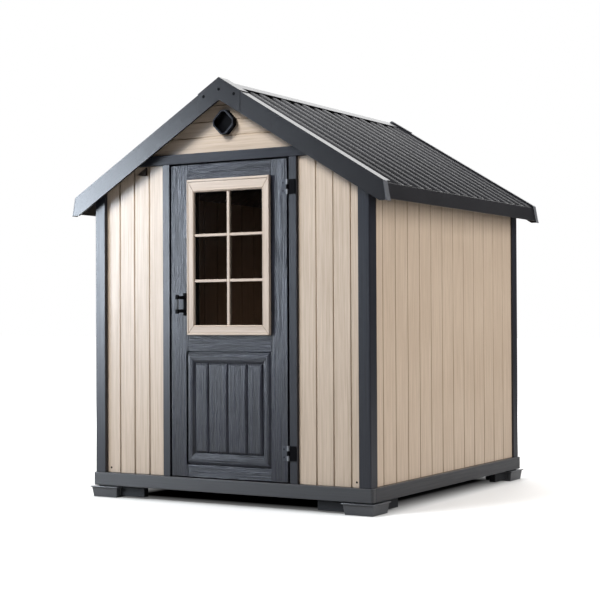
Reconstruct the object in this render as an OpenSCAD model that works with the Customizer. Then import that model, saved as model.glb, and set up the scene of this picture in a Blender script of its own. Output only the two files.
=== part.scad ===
// Plastic storage shed: a two-tone gabled garden store on four feet, with one
// outward-opening door. The front faces -Y, the door hangs on its right side
// and +Z is up. The origin is on the ground under the middle of the base.
// All sizes are in millimetres.

/* [Base] */
// Width of the base over its skirt
base_w = 1850; // [1650:10:2400]
// Depth of the base over its skirt
base_d = 2040; // [1400:10:3000]
// Height of the feet
foot_h = 68; // [50:1:120]
// Width and depth of a foot over its rim
foot_w = 198; // [160:1:260]
// How far a foot's rim stands out past the skirt
foot_out = 14; // [6:1:30]
// Thickness of a foot's rim
foot_rim_t = 7; // [4:1:14]
// Inset of the top of a foot's body under its rim
foot_inset = 7; // [3:1:16]
// Further inset of a foot's body at the ground
foot_taper = 8; // [2:1:20]
// Height of the neck on a foot that carries the skirt
neck_h = 5; // [3:1:12]
// Inset of the neck from the foot's rim
neck_inset = 36; // [20:1:60]
// Reach of a foot's arms past its body, under the skirt
foot_arm_l = 165; // [80:5:220]
// Width of a foot's arms
foot_arm_w = 40; // [24:1:60]
// Inset of a foot's arms from its rim
foot_arm_inset = 42; // [30:1:60]
// Height of the arms' underside above the ground
foot_arm_up = 10; // [4:1:20]
// Height of the skirt
skirt_h = 75; // [50:1:120]
// Thickness of the skirt
skirt_t = 40; // [25:1:60]
// Radius of the skirt's corners
skirt_r = 14; // [4:1:24]
// Thickness of the floor panel
floor_t = 34; // [20:1:48]

/* [Walls] */
// Height of a side wall's outer face above the floor
wall_h = 1645; // [1600:5:2100]
// Thickness of the wall panels
wall_t = 30; // [20:1:45]
// Width of a corner post seen from the front
post_front_w = 71; // [50:1:100]
// Width of a corner post seen from the side
post_side_w = 76; // [50:1:100]
// Inset of the posts from the skirt's sides
post_inset_x = 13; // [5:1:25]
// Inset of the posts from the skirt's front and back
post_inset_y = 5; // [2:1:20]
// Radius of a post's outer corner
post_r = 8; // [2:1:11]
// How far the front and back walls lie behind the posts
front_recess = 25; // [12:1:35]
// How far the side walls lie behind the posts
side_recess = 13; // [12:1:25]

/* [Doorway] */
// Offset of the door to the right of the shed's middle
door_offset = 16; // [-60:1:60]
// Width of the door jambs
jamb_w = 48; // [40:1:80]
// How far the jambs stand out from the wall
jamb_out = 17; // [10:1:30]
// Height of the header over the door and along the gable's foot
header_h = 54; // [40:1:80]
// How far the header stands out from the jambs
header_out = 4; // [1:1:10]
// How far the door stops reach over the door's edge
stop_lap = 18; // [10:1:25]
// Thickness of the door stops
stop_t = 14; // [8:1:20]
// Gap between the shut door and its stops
stop_gap = 6; // [5:1:10]

/* [Door] */
// Width of the door
door_w = 770; // [700:5:850]
// Height of the door
door_h = 1762; // [1650:2:1800]
// Thickness of the door
door_t = 38; // [30:1:45]
// Gap between the door and a jamb
door_gap = 12; // [10:1:16]
// Gap over and under the door
door_end_gap = 6; // [5:1:10]
// Width of the lower panel
panel_w = 550; // [480:2:580]
// Height of the lower panel
panel_h = 606; // [500:2:640]
// Height of the lower panel's bottom above the door's
panel_up = 89; // [60:1:110]
// Depth of the lower panel's recess in the door
panel_recess = 12; // [6:1:16]
// Width of the bevel round the raised field
bevel_w = 43; // [20:1:60]
// Gap between the recess's edge and the bevel
bevel_gap = 9; // [4:1:20]
// How far the raised field stands out from the door's face
field_out = 2; // [0:0.5:6]
// Spacing of the grooves in the raised field
field_groove_pitch = 132; // [90:1:145]
// Width and depth of a groove in the raised field
field_groove = 9; // [5:1:12]

/* [Window] */
// Offset of the window to the right of the door's middle
window_offset = 9; // [-20:1:20]
// Width of the window frame
frame_w = 546; // [460:2:580]
// Height of the window frame
frame_h = 875; // [760:1:900]
// Height of the window frame's bottom above the door's
frame_up = 797; // [790:1:840]
// Width of the frame's sides
frame_side = 47; // [36:1:70]
// Width of the frame's top
frame_top = 72; // [40:1:90]
// Width of the frame's bottom
frame_low = 56; // [40:1:80]
// How far the frame stands out from the door's face
frame_out = 22; // [8:1:26]
// Depth of the pane behind the frame's front
pane_depth = 24; // [14:1:34]
// Width of the frame's lining inside the door
lining_t = 8; // [5:1:12]
// Width of the trim round the window inside
inner_trim_w = 28; // [15:1:40]
// Thickness of the trim round the window inside
inner_trim_t = 4; // [2:1:5]
// Thickness of the pane
glass_t = 4; // [3:1:6]

/* [Roof] */
// Pitch of the roof in degrees
pitch = 31.2; // [26:0.2:36]
// Reach of the roof's top edge past the corner posts at the eaves
eave_out = 106; // [80:1:150]
// Reach of the rake boards' face past the front and back walls
rake_reach = 77; // [60:1:120]
// Depth of the rake boards, square to the slope
rake_w = 103; // [80:1:130]
// Thickness of the rake boards
rake_t = 14; // [8:1:20]
// Width of the flat strip along the roof's front edge
strip_w = 85; // [60:1:110]
// Width of the narrow strip along the roof's back edge
back_strip_w = 30; // [24:1:50]
// Thickness of the strips and of their inner lips
strip_t = 5; // [3:1:8]
// Drop from the rake's top line to the crests of the main ribs
crest_drop = 11; // [9:1:18]
// Height of the main ribs
rib_h = 17; // [10:1:20]
// How much lower the minor ribs are than the main ones
minor_drop = 3; // [1:1:6]
// Spacing of the main ribs
rib_pitch = 242; // [210:1:270]
// Distance of each minor rib in front of its main rib
rib_pair = 96; // [86:1:116]
// Distance of the first main rib behind the front strip
first_rib = 268; // [200:1:300]
// Width of a rib at its crest
rib_crest = 38; // [24:1:46]
// Width of a rib at its foot
rib_foot = 64; // [54:1:80]
// Least width of the raised land along the back edge
land_w = 60; // [50:1:80]
// Thickness of the roof sheet
sheet_t = 5; // [3:1:8]
// Width of the ridge cap on each side of the ridge
cap_w = 55; // [50:1:120]
// Thickness of the ridge cap
cap_t = 4; // [2:1:6]
// Half length of an apex cap
apex_w = 140; // [100:1:180]
// Thickness of an apex cap
apex_t = 5; // [3:1:7]
// Slant of the rakes' ends: how far their foot lies outside their top
eave_slant = 15; // [0:1:30]
// Height of the rakes' ends below the roof's top edge
rake_end_h = 107; // [90:1:130]
// Height of the eave board below the roof's top edge
eave_h = 97; // [70:1:107]
// Thickness of the eave board
eave_t = 10; // [6:1:16]
// Length of the corner pieces at the ends of the eave boards
corner_l = 45; // [30:1:80]
// Thickness of the corner pieces
corner_t = 4; // [2:1:6]
// Reach of the corner piece's flared tip past the rake's foot
tip_out = 10; // [6:1:24]
// Drop of the flared tip below the rake's foot
tip_drop = 3; // [0:1:10]
// Width of the ridge beam
beam_w = 40; // [30:1:60]
// Height of the ridge beam at its middle
beam_h = 70; // [50:1:100]

/* [Vent] */
// Half diagonal of a gable vent
vent_r = 85; // [70:1:92]
// Width of the flats that cut a vent's corners
vent_flat = 34; // [20:1:50]
// How far a vent stands out from the gable
vent_out = 38; // [20:1:45]
// Width of a vent's rim
vent_rim = 15; // [8:1:20]
// Thickness of a vent's back plate
vent_back_t = 6; // [3:1:10]
// Height of a vent's middle above the header
vent_up = 160; // [100:1:170]
// Length of the slots in a vent's slanting sides
vent_slot_l = 44; // [20:1:50]
// Width of the slots in a vent's slanting sides
vent_slot_w = 11; // [6:1:14]

/* [Fittings] */
// Height of the hinges
hinge_h = 80; // [60:1:110]
// Height of the upper hinge's middle above the door's bottom
hinge_upper_up = 1603; // [1500:1:1640]
// Height of the lower hinge's middle above the door's bottom
hinge_lower_up = 158; // [110:1:250]
// Radius of a hinge's knuckles
knuckle_r = 7; // [6:0.5:9]
// Radius of a hinge pin
pin_r = 3; // [2:0.5:4]
// Clearance round a hinge pin
pin_clearance = 0.3; // [0.2:0.1:0.5]
// Gap between the knuckles of a hinge
knuckle_gap = 1; // [0.5:0.5:2]
// Width of the plate on the jamb
jamb_plate_w = 40; // [20:1:40]
// Thickness of the plate on the jamb
jamb_plate_t = 6; // [3:0.5:6.5]
// Width of the plate on the door
door_plate_w = 30; // [20:1:45]
// Thickness of the plate on the door
door_plate_t = 3; // [2:0.5:6]
// Height of the handle's middle above the door's bottom
handle_up = 971; // [850:1:1100]
// Height of the handle's plate
handle_h = 127; // [110:1:170]
// Width of the handle's plate
handle_w = 26; // [20:1:34]
// Gap between the handle's plate and the window frame
handle_gap = 9; // [4:1:12]
// Thickness of the handle's plate
handle_plate_t = 8; // [4:1:12]
// Height of the grip
grip_h = 107; // [90:1:110]
// How far the grip stands out from the door's face
grip_out = 52; // [40:1:70]
// How far the grip lies to the left of the plate
grip_left = 24; // [0:1:30]
// Width of the grip
grip_w = 20; // [14:1:26]
// Thickness of the grip
grip_t = 12; // [8:1:16]
// Height of the arms that carry the grip
arm_h = 19; // [12:1:24]
// Distance from the grip's ends to the arms
arm_inset = 6; // [0:1:12]

/* [Hidden] */

CREAM = "#cdbca4";
TRIM = "#d8c8b2";
SLATE = "#4b4e55";
DOOR = "#50565f";
ROOF = "#3c3b3e";
CAP = "#b9bbbd";
BLACK = "#17181a";
STEEL = "#6f7276";

// Places in plan
half_w = base_w / 2;
half_d = base_d / 2;
post_x = half_w - post_inset_x;
post_y = half_d - post_inset_y;
wall_x = post_x - side_recess;
wall_y = post_y - front_recess;
inner_y = wall_y - wall_t;
inner_x = wall_x - wall_t;

// Heights
floor_z = foot_h + skirt_h;
door_z = floor_z + door_end_gap;
header_z = door_z + door_h + door_end_gap;
gable_z = header_z + header_h;

// Roof: normal distances below the rake's top line, and the line itself
pan_drop = crest_drop + rib_h;
under_drop = pan_drop + sheet_t;
roof_seat = 0.2;
peak_z = floor_z + wall_h + wall_x * tan(pitch) + under_drop / cos(pitch);
eave_x = post_x + eave_out;
foot_x = eave_x + eave_slant;
foot_z = roof_z(eave_x, 0) - rake_end_h;
rake_y = wall_y + rake_reach;
board_y = rake_y - rake_t;
strip_y = rake_y - strip_w;
back_strip_y = rake_y - back_strip_w;
sheet_end_gap = 3;
sheet_y = board_y - sheet_end_gap;

// Doorway
door_left = door_offset - door_w / 2;
door_right = door_offset + door_w / 2;
jamb_left = door_left - door_gap;
jamb_right = door_right + door_gap;
face_y = -(wall_y + jamb_out);
door_back_y = face_y + door_t;
stop_y = door_back_y + stop_gap;
glass_w = frame_w - 2 * frame_side;
glass_h = frame_h - frame_top - frame_low;
glass_x = door_offset + window_offset;
glass_z = door_z + frame_up + frame_low + glass_h / 2;
pane_y = face_y - frame_out + pane_depth;
hinge_x = door_right + door_gap / 2;
hinge_y = face_y - knuckle_r;

// Height of the roof's line at x, a normal distance drop below the rake's top
function roof_z(x, drop) = peak_z - abs(x) * tan(pitch) - drop / cos(pitch);

// A box given by its low and high corners
module box(low, high) {
    translate(low)
        cube(high - low);
}

// The children mirrored to the left for side -1, and to the front for end -1
module place(side = 1, end = 1) {
    mirror([side < 0 ? 1 : 0, 0, 0])
        mirror([0, end < 0 ? 1 : 0, 0])
            children();
}

// A flat outline in X and Z, made solid from y_low to y_high
module plate_xz(y_low, y_high) {
    translate([0, y_high, 0])
        rotate([90, 0, 0])
            linear_extrude(y_high - y_low)
                children();
}

// The space under the roof sheets, from rake to rake
module under_roof() {
    plate_xz(-rake_y, rake_y)
        polygon([[-half_w, 0], [half_w, 0], [half_w, roof_z(half_w, under_drop + roof_seat)],
                 [0, roof_z(0, under_drop + roof_seat)],
                 [-half_w, roof_z(half_w, under_drop + roof_seat)]]);
}

// A band of the right-hand slope between two drops, from x_low to x_high
module slope_band(drop_top, drop_low, x_low, x_high) {
    polygon([[x_low, roof_z(x_low, drop_low)], [x_high, roof_z(x_high, drop_low)],
             [x_high, roof_z(x_high, drop_top)], [x_low, roof_z(x_low, drop_top)]]);
}

// Feet ---------------------------------------------------------------------

// A square frustum centred on the origin, its faces slanting by taper
module frustum(size, h, taper) {
    profile = [[-size / 2 + taper, 0], [size / 2 - taper, 0], [size / 2, h], [-size / 2, h]];
    intersection() {
        plate_xz(-size / 2, size / 2)
            polygon(profile);
        rotate([0, 0, 90])
            plate_xz(-size / 2, size / 2)
                polygon(profile);
    }
}

// A foot whose two arms run under the skirt along both sides of its corner
module foot(side, end) {
    body_h = foot_h - neck_h - foot_rim_t;
    half = foot_w / 2;
    neck = half - neck_inset;
    arm = half - foot_arm_inset;
    color(SLATE)
        place(side, end)
            translate([half_w + foot_out - half, half_d + foot_out - half, 0]) {
                frustum(foot_w - 2 * foot_inset, body_h, foot_taper);
                box([-half, -half, body_h], [half, half, body_h + foot_rim_t]);
                box([-neck, -neck, body_h], [neck, neck, foot_h]);
                box([-half - foot_arm_l, arm - foot_arm_w, foot_arm_up], [arm, arm, foot_h]);
                box([arm - foot_arm_w, -half - foot_arm_l, foot_arm_up], [arm, arm, foot_h]);
            }
}

// Base ---------------------------------------------------------------------

module skirt_outline() {
    linear_extrude(skirt_h)
        union() {
            square([base_w - 2 * skirt_r, base_d], center = true);
            square([base_w, base_d - 2 * skirt_r], center = true);
            for (sx = [-1, 1], sy = [-1, 1])
                translate([sx * (half_w - skirt_r), sy * (half_d - skirt_r)])
                    circle(skirt_r, $fn = 64);
        }
}

// The boards across the front and back, which hold the rounded corners
module skirt_across(end) {
    color(SLATE)
        place(1, end)
            intersection() {
                translate([0, 0, foot_h])
                    skirt_outline();
                box([-half_w, half_d - skirt_t, foot_h], [half_w, half_d, floor_z]);
            }
}

// The boards along the sides, between the other two
module skirt_along(side) {
    color(SLATE)
        place(side)
            box([half_w - skirt_t, skirt_t - half_d, foot_h], [half_w, half_d - skirt_t, floor_z]);
}

module floor_panel() {
    x = half_w - skirt_t;
    y = half_d - skirt_t;
    color(SLATE)
        box([-x, -y, floor_z - floor_t], [x, y, floor_z]);
}

// Walls --------------------------------------------------------------------

// An L-shaped post whose two legs lie over the edges of the wall panels
module corner_post(side, end) {
    color(SLATE)
        place(side, end)
            intersection() {
                translate([0, 0, floor_z])
                    linear_extrude(peak_z)
                        difference() {
                            union() {
                                translate([post_x - post_front_w, post_y - post_side_w])
                                    square([post_front_w, post_side_w - post_r]);
                                translate([post_x - post_front_w, post_y - post_side_w])
                                    square([post_front_w - post_r, post_side_w]);
                                translate([post_x - post_r, post_y - post_r])
                                    circle(post_r, $fn = 48);
                            }
                            translate([wall_x - post_front_w, wall_y - post_side_w])
                                square([post_front_w, post_side_w]);
                        }
                under_roof();
            }
}

// The front wall beside the door, from the jamb's outer edge to the corner
module front_wall(side, x_jamb) {
    color(CREAM)
        place(side)
            intersection() {
                box([side * x_jamb, -wall_y, floor_z], [wall_x, -inner_y, header_z]);
                under_roof();
            }
}

module back_wall() {
    color(CREAM)
        intersection() {
            box([-wall_x, inner_y, floor_z], [wall_x, wall_y, header_z]);
            under_roof();
        }
}

module side_wall(side) {
    color(CREAM)
        place(side)
            intersection() {
                box([inner_x, -inner_y, floor_z], [wall_x, inner_y, peak_z]);
                under_roof();
            }
}

// The beam along the gable's foot, which stands out from the wall between the posts
module header_beam(end) {
    x = post_x - post_front_w;
    place(1, end)
        intersection() {
            union() {
                box([-wall_x, inner_y, header_z], [wall_x, wall_y, gable_z]);
                box([-x, wall_y, header_z], [x, wall_y + jamb_out + header_out, gable_z]);
            }
            under_roof();
        }
}

// The front beam also carries the stop over the door
module front_header() {
    color(SLATE) {
        header_beam(-1);
        box([door_left + stop_lap, stop_y, header_z - stop_lap],
            [door_right - stop_lap, stop_y + stop_t, gable_z]);
    }
}

module back_header() {
    color(SLATE)
        header_beam(1);
}

module gable(end) {
    color(CREAM)
        place(1, end)
            intersection() {
                box([-wall_x, inner_y, gable_z], [wall_x, wall_y, peak_z]);
                under_roof();
            }
}

// A diamond with its four corners cut off, as an outline in X and Z
module vent_outline(r, flat) {
    h = flat / 2;
    polygon([[r - h, -h], [r - h, h], [h, r - h], [-h, r - h],
             [h - r, h], [h - r, -h], [-h, h - r], [h, h - r]]);
}

// An open-fronted box on the gable, with a slot in each slanting side
module vent(end) {
    side_d = vent_r / sqrt(2);
    slot_y = (vent_out + vent_back_t - vent_slot_w) / 2;
    color(SLATE)
        place(1, end)
            translate([0, wall_y, gable_z + vent_up])
                difference() {
                    plate_xz(0, vent_out)
                        vent_outline(vent_r, vent_flat);
                    plate_xz(vent_back_t, vent_out + 1)
                        vent_outline(vent_r - vent_rim, vent_flat - 2 * vent_rim * tan(45 / 2));
                    for (turn = [45 : 90 : 315])
                        rotate([0, turn, 0])
                            box([side_d - vent_rim - 1, slot_y, -vent_slot_l / 2],
                                [side_d + 1, slot_y + vent_slot_w, vent_slot_l / 2]);
                }
}

// A jamb with the stop that the door shuts towards
module door_jamb(x_low, x_high, stop_low, stop_high) {
    color(SLATE) {
        box([x_low, face_y, floor_z], [x_high, -inner_y, header_z]);
        box([stop_low, stop_y, floor_z], [stop_high, stop_y + stop_t, header_z]);
    }
}

module door_jamb_left() {
    x = jamb_left - jamb_w;
    door_jamb(x, jamb_left, x, door_left + stop_lap);
}

module door_jamb_right() {
    x = jamb_right + jamb_w;
    door_jamb(jamb_right, x, door_right - stop_lap, x);
}

// Roof ---------------------------------------------------------------------

// The four corners of a rib around y, from front to back
function rib_points(y, foot_drop, top_drop, inset) =
    [[y - rib_foot / 2 + inset, -foot_drop], [y - rib_crest / 2 + inset, -top_drop],
     [y + rib_crest / 2 - inset, -top_drop], [y + rib_foot / 2 - inset, -foot_drop]];

// One face of a sheet from front to back: pairs of ribs, then the raised land
function sheet_line(foot_drop, top_drop, inset) =
    let (first = first_rib - strip_y,
         pairs = floor((sheet_y - land_w - first) / rib_pitch),
         land_y = first + pairs * rib_pitch)
        [[-sheet_y, -foot_drop],
         for (i = [0 : pairs - 1])
             let (y = first + i * rib_pitch)
                 each concat(rib_points(y - rib_pair, foot_drop, top_drop + minor_drop, inset),
                             rib_points(y, foot_drop, top_drop, inset)),
         each rib_points(land_y - rib_pair, foot_drop, top_drop + minor_drop, inset),
         [land_y - rib_foot / 2 + inset, -foot_drop],
         [land_y - rib_crest / 2 + inset, -top_drop],
         [sheet_y, -top_drop]];

// The ribbed section of a sheet, across the slope
module sheet_section() {
    under = sheet_line(under_drop, crest_drop + sheet_t, sheet_t / 2);
    polygon(concat(sheet_line(pan_drop, crest_drop, 0),
                   [for (i = [len(under) - 1 : -1 : 0]) under[i]]));
}

// A ribbed sheet that runs down one slope, from the ridge to the eave board
module roof_sheet(side) {
    start = under_drop * tan(pitch) + 1;
    end = (eave_x - eave_t - 1 + crest_drop * sin(pitch)) / cos(pitch);
    color(ROOF)
        place(side)
            translate([0, 0, peak_z])
                rotate([0, pitch, 0])
                    translate([start, 0, 0])
                        rotate([90, 0, 90])
                            linear_extrude(end - start)
                                sheet_section();
}

// A band that follows both slopes between two drops, out to x on each side
module ridge_band(drop_top, drop_low, x) {
    polygon([[-x, roof_z(x, drop_low)], [0, roof_z(0, drop_low)], [x, roof_z(x, drop_low)],
             [x, roof_z(x, drop_top)], [0, roof_z(0, drop_top)], [-x, roof_z(x, drop_top)]]);
}

module ridge_cap() {
    color(CAP)
        plate_xz(-strip_y, back_strip_y)
            ridge_band(crest_drop - cap_t, crest_drop, cap_w);
}

module ridge_beam() {
    color(STEEL)
        intersection() {
            box([-beam_w / 2, -inner_y, roof_z(0, under_drop) - beam_h], [beam_w / 2, inner_y, peak_z]);
            under_roof();
        }
}

// How far out the strip's inner edge lies at the front (-1) or back (1)
function inner_edge(end) = end < 0 ? strip_y : back_strip_y;

// A rake board with the flat strip behind its top edge and the strip's lip
module rake(side, end) {
    foot_in_x = (peak_z - rake_w / cos(pitch) - foot_z) / tan(pitch);
    edge_y = inner_edge(end);
    sheet_drop = end < 0 ? pan_drop : crest_drop;
    color(ROOF)
        place(side, end) {
            plate_xz(board_y, rake_y)
                polygon([[0, roof_z(0, rake_w)], [foot_in_x, foot_z], [foot_x, foot_z],
                         [eave_x, roof_z(eave_x, 0)], [0, peak_z]]);
            plate_xz(edge_y, board_y)
                slope_band(0, strip_t, 0, eave_x);
            plate_xz(edge_y, edge_y + strip_t)
                slope_band(strip_t / 2, sheet_drop, 0, eave_x - eave_t);
        }
}

// The cap over the joint between two rake boards
module apex_cap(end) {
    color(ROOF)
        place(1, end) {
            plate_xz(rake_y, rake_y + apex_t)
                ridge_band(-apex_t, rake_w, apex_w);
            plate_xz(inner_edge(end), rake_y)
                ridge_band(-apex_t, 0, apex_w);
        }
}

// The slanted eave board and the corner pieces with flared tips at its ends
module eave(side) {
    edge_z = roof_z(eave_x, 0);
    top_z = roof_z(eave_x, crest_drop);
    low_z = edge_z - eave_h;
    lean = eave_slant / rake_end_h;
    top_x = eave_x + lean * (edge_z - top_z);
    low_x = eave_x + lean * eave_h;
    tip_x = foot_x + tip_out;
    color(ROOF)
        place(side) {
            plate_xz(-board_y, board_y)
                polygon([[top_x - eave_t, top_z], [low_x - eave_t, low_z], [low_x, low_z], [top_x, top_z]]);
            for (end = [-1, 1])
                place(1, end)
                    plate_xz(rake_y - corner_l, rake_y)
                        polygon([[eave_x, edge_z], [foot_x, foot_z], [tip_x - corner_t, foot_z - tip_drop],
                                 [tip_x, foot_z - tip_drop], [foot_x + corner_t, foot_z + 2 * tip_out],
                                 [eave_x + corner_t, edge_z - corner_t]]);
        }
}

// Door ---------------------------------------------------------------------

module door_leaf() {
    hole_x = glass_w / 2 + lining_t;
    hole_z = glass_h / 2 + lining_t;
    panel_low = door_z + panel_up;
    color(DOOR)
        difference() {
            box([door_left, face_y, door_z], [door_right, door_back_y, door_z + door_h]);
            box([glass_x - hole_x, face_y - 1, glass_z - hole_z],
                [glass_x + hole_x, door_back_y + 1, glass_z + hole_z]);
            box([door_offset - panel_w / 2, face_y - 1, panel_low],
                [door_offset + panel_w / 2, face_y + panel_recess, panel_low + panel_h]);
        }
}

// A trapezium whose long side is at recess depth and whose short side stands out
module bevel_outline(half) {
    foot = half - bevel_gap;
    polygon([[-foot, panel_recess], [foot, panel_recess],
             [foot - bevel_w, -field_out], [bevel_w - foot, -field_out]]);
}

// The raised field that lies in the door's lower recess, with grooves down it
module door_lower_panel() {
    field_low = door_z + panel_up + bevel_gap;
    field_high = door_z + panel_up + panel_h - bevel_gap;
    middle_z = (field_low + field_high) / 2;
    color(DOOR)
        difference() {
            intersection() {
                translate([door_offset, face_y, field_low])
                    linear_extrude(field_high - field_low)
                        bevel_outline(panel_w / 2);
                translate([door_offset - panel_w / 2, face_y, middle_z])
                    rotate([0, 90, 0])
                        linear_extrude(panel_w)
                            bevel_outline(panel_h / 2);
            }
            for (i = [-1, 0, 1])
                translate([door_offset + i * field_groove_pitch, face_y - field_out,
                           field_low + bevel_w])
                    rotate([0, 0, 45])
                        translate([-field_groove / 2, -field_groove / 2, 0])
                            cube([field_groove, field_groove, field_high - field_low - 2 * bevel_w]);
        }
}

// A block with the pane's opening cut through it, from y_low to y_high
module window_ring(side, top, low, y_low, y_high) {
    x = glass_w / 2;
    z = glass_h / 2;
    translate([glass_x, 0, glass_z])
        difference() {
            box([-x - side, y_low, -z - low], [x + side, y_high, z + top]);
            box([-x, y_low - 1, -z], [x, y_high + 1, z]);
        }
}

// The border on the face, the lining through the door and the trim inside
module window_frame() {
    color(TRIM) {
        window_ring(frame_side, frame_top, frame_low, face_y - frame_out, face_y);
        window_ring(lining_t, lining_t, lining_t, face_y, door_back_y);
        window_ring(inner_trim_w, inner_trim_w, inner_trim_w, door_back_y, door_back_y + inner_trim_t);
    }
}

module window_glass() {
    color("lightblue", 0.4)
        translate([glass_x, pane_y, glass_z])
            box([-glass_w / 2, 0, -glass_h / 2], [glass_w / 2, glass_t, glass_h / 2]);
}

// A narrow backplate with two arms that carry an upright grip
module door_handle() {
    left = glass_x - glass_w / 2 - frame_side - handle_gap - handle_w;
    right = left + handle_w;
    grip_x = left - grip_left;
    plate_y = face_y - handle_plate_t;
    front_y = face_y - grip_out;
    grip_y = front_y + grip_t / 2;
    color(BLACK)
        translate([0, 0, door_z + handle_up]) {
            box([left, plate_y, -handle_h / 2], [right, face_y, handle_h / 2]);
            box([grip_x, front_y, -grip_h / 2], [grip_x + grip_w, front_y + grip_t, grip_h / 2]);
            for (z = [arm_inset - grip_h / 2, grip_h / 2 - arm_inset - arm_h])
                translate([0, 0, z])
                    linear_extrude(arm_h)
                        polygon([[left, face_y], [left, plate_y], [grip_x, front_y + grip_t],
                                 [grip_x, grip_y], [grip_x + grip_w, grip_y],
                                 [grip_x + grip_w, front_y + grip_t], [right, plate_y],
                                 [right, face_y]]);
        }
}

// Hinges -------------------------------------------------------------------

// The hinges' own pieces at both heights
module each_hinge() {
    for (up = [hinge_lower_up, hinge_upper_up])
        translate([hinge_x, hinge_y, door_z + up])
            children();
}

// Plates on the jamb, each with the middle knuckle and the pin
module hinge_jamb_plates() {
    knuckle_h = hinge_h / 3 - 2 * knuckle_gap;
    plate_x = knuckle_r + knuckle_gap;
    color(BLACK)
        each_hinge() {
            box([plate_x, knuckle_r - jamb_plate_t, -hinge_h / 2],
                [plate_x + jamb_plate_w, knuckle_r, hinge_h / 2]);
            box([0, knuckle_r - jamb_plate_t, -knuckle_h / 2], [plate_x, knuckle_r, knuckle_h / 2]);
            cylinder(h = knuckle_h, r = knuckle_r, center = true, $fn = 48);
            cylinder(h = hinge_h, r = pin_r, center = true, $fn = 48);
        }
}

// Plates on the door, each with the two outer knuckles
module hinge_door_plates() {
    edge_x = -door_gap / 2 - door_plate_t;
    color(SLATE)
        each_hinge()
            difference() {
                union() {
                    box([edge_x - door_plate_w, knuckle_r - door_plate_t, -hinge_h / 2],
                        [edge_x, knuckle_r, hinge_h / 2]);
                    for (z = [-hinge_h / 2, hinge_h / 6]) {
                        box([edge_x, knuckle_r - door_plate_t, z], [0, knuckle_r, z + hinge_h / 3]);
                        translate([0, 0, z])
                            cylinder(h = hinge_h / 3, r = knuckle_r, $fn = 48);
                    }
                }
                cylinder(h = hinge_h + 2, r = pin_r + pin_clearance, center = true, $fn = 48);
            }
}

foot(-1, -1);  // foot_front_left
foot(1, -1);  // foot_front_right
foot(-1, 1);  // foot_back_left
foot(1, 1);  // foot_back_right
skirt_across(-1);  // base_skirt_front
skirt_across(1);  // base_skirt_back
skirt_along(-1);  // base_skirt_left
skirt_along(1);  // base_skirt_right
floor_panel();
corner_post(-1, -1);  // corner_post_front_left
corner_post(1, -1);  // corner_post_front_right
corner_post(-1, 1);  // corner_post_back_left
corner_post(1, 1);  // corner_post_back_right
front_wall(-1, jamb_left - jamb_w);  // front_wall_left
front_wall(1, jamb_right + jamb_w);  // front_wall_right
back_wall();
side_wall(-1);  // side_wall_left
side_wall(1);  // side_wall_right
front_header();
back_header();
gable(-1);  // front_gable
gable(1);  // back_gable
vent(-1);  // front_vent
vent(1);  // back_vent
door_jamb_left();
door_jamb_right();
roof_sheet(-1);  // roof_sheet_left
roof_sheet(1);  // roof_sheet_right
ridge_cap();
ridge_beam();
rake(-1, -1);  // rake_front_left
rake(1, -1);  // rake_front_right
rake(-1, 1);  // rake_back_left
rake(1, 1);  // rake_back_right
apex_cap(-1);  // apex_cap_front
apex_cap(1);  // apex_cap_back
eave(-1);  // eave_left
eave(1);  // eave_right
hinge_jamb_plates();
door_leaf();
door_lower_panel();
window_frame();
window_glass();
door_handle();
hinge_door_plates();
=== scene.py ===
"""Looks of the plastic garden shed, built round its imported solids. Lengths are in metres."""

import math

import bmesh
import bpy
from mathutils import Matrix, Vector


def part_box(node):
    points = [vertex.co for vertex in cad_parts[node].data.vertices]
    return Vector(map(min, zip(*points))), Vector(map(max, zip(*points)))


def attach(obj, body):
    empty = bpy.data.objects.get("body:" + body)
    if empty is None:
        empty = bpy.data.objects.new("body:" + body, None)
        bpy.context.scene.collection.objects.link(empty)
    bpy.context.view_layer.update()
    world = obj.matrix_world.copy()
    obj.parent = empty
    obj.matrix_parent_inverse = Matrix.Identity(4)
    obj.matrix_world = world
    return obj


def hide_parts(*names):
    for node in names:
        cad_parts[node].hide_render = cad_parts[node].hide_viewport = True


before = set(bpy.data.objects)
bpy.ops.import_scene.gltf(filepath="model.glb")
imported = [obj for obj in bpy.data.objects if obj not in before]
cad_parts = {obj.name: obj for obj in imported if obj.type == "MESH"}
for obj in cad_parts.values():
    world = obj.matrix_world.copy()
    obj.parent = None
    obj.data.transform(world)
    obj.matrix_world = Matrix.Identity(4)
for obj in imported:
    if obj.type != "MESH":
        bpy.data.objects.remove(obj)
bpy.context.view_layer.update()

X, Y, Z = 0, 1, 2

# Sizes of the roof's sheets, which their finish needs too. A minor rib lies ahead of each main
# rib and is lower than it; the crests lie under the plane of the rakes' top edges.
PITCH = math.radians(31.2)
PEAK_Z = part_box("rake_front_right")[1].z
CREST_DROP, RIB_RISE, MINOR_LOWER = 0.011, 0.017, 0.003
RIB_PAIRS, RIB_FIRST, RIB_PITCH, RIB_AHEAD = 7, -0.714, 0.242, 0.096
RIB_CREST, RIB_FOOT, RIB_EASE = 0.038, 0.064, 0.003
SHEET_THICKNESS = 0.004
SHEET_END = (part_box("roof_sheet_right")[1].x + CREST_DROP * math.sin(PITCH)) / math.cos(PITCH)


# Node trees ---------------------------------------------------------------


def socket_of(sockets, key):
    """The socket with that place, identifier or name."""
    if isinstance(key, int):
        return sockets[key]
    exact = [s for s in sockets if s.identifier == key]
    return (exact or [s for s in sockets if s.name == key and s.enabled])[0]


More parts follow.
